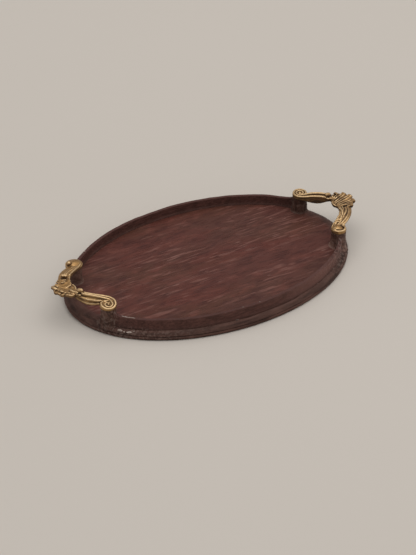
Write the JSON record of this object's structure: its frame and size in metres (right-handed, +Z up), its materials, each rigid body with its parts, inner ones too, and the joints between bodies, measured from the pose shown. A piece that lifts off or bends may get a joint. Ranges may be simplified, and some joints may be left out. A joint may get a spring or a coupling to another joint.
{
  "type": "miniature oval serving tray",
  "caption": "Miniature oval wooden serving tray with a moulded edge, two low gallery rims and two cast brass rocaille handles standing on short posts.",
  "frame": {"origin": "centre of the board's underside", "axes": "+Z up, +X along the tray towards its right handle, +Y across it towards the back gallery"},
  "size_m": [0.076, 0.0458, 0.0085],
  "materials": {
    "board_wood": "thin satin varnish over stained open-pored wood",
    "gallery_wood": "thin satin varnish over dark stain",
    "post_wood": "thin satin varnish over dark stain",
    "cast_brass": "cast, lightly tarnished, dark in the recesses"
  },
  "bodies": {
    "root": {"tray_board": "board_wood", "gallery_front": "gallery_wood", "gallery_back": "gallery_wood", "post_front_left": "post_wood", "post_front_right": "post_wood", "post_back_left": "post_wood", "post_back_right": "post_wood", "handle_left": "cast_brass", "handle_right": "cast_brass"}
  },
  "joints": []
}
